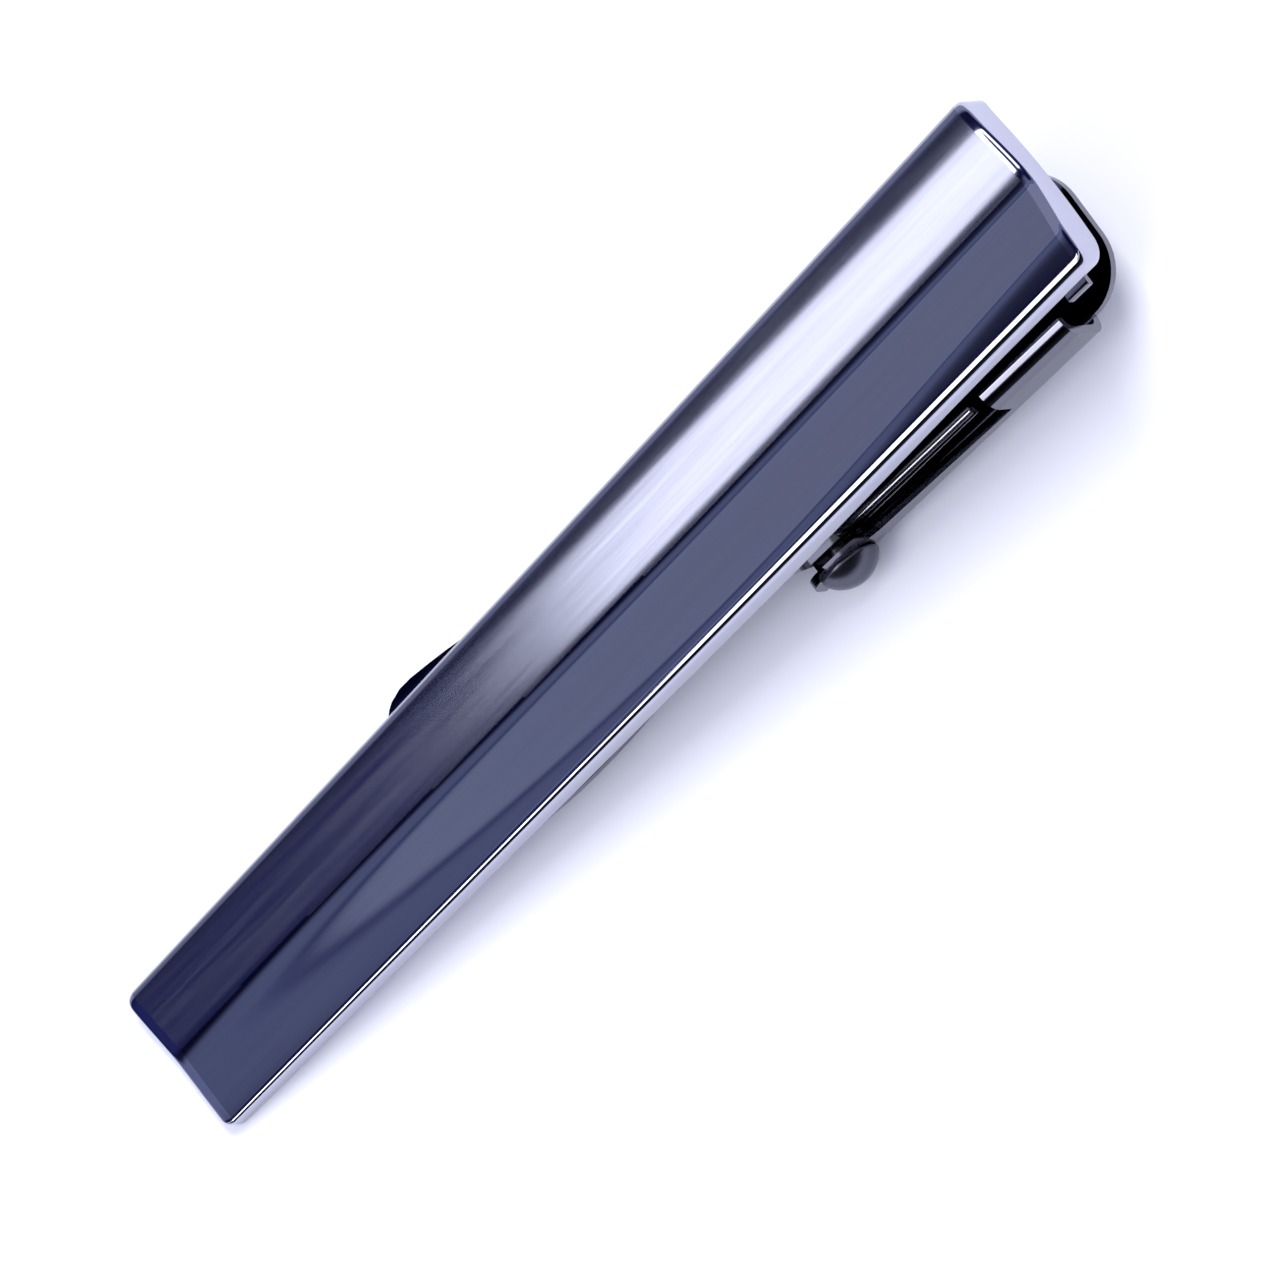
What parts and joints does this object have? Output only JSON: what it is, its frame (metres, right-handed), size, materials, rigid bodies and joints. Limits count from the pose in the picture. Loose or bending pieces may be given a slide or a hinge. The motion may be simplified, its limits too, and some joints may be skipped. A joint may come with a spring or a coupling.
{
  "type": "tie clip",
  "caption": "Grooved, tapered metal tie bar with a sprung lever clasp hinged on a soldered base behind it, gripping cloth between bar and toothed jaw.",
  "frame": {"origin": "middle of the bar's flat back face", "axes": "+X along the bar towards the thumb end, +Y across the bar, +Z out of the decorated front"},
  "size_m": [0.054, 0.01, 0.0073],
  "materials": {
    "bar_satin": "satin brushed black nickel plate",
    "clasp_polished": "polished black nickel plate",
    "pin_polished": "polished black nickel plate",
    "spring_wire": "drawn spring steel wire"
  },
  "bodies": {
    "root": {"front_bar": "bar_satin", "clasp_base": "clasp_polished", "hinge_pin": "pin_polished", "torsion_spring": "spring_wire"},
    "lever": {"clasp_lever": "clasp_polished"}
  },
  "joints": [
    {"name": "lever_hinge", "type": "hinge", "parent": "root", "child": "lever", "pos_m": [0.008, 0, -0.004], "axis": [-0.0384, -0.9993, 0], "range_deg": [0, 8], "stiffness_Nm_per_rad": 0.02, "springref_deg": -34.38, "deforming": ["torsion_spring"]}
  ]
}
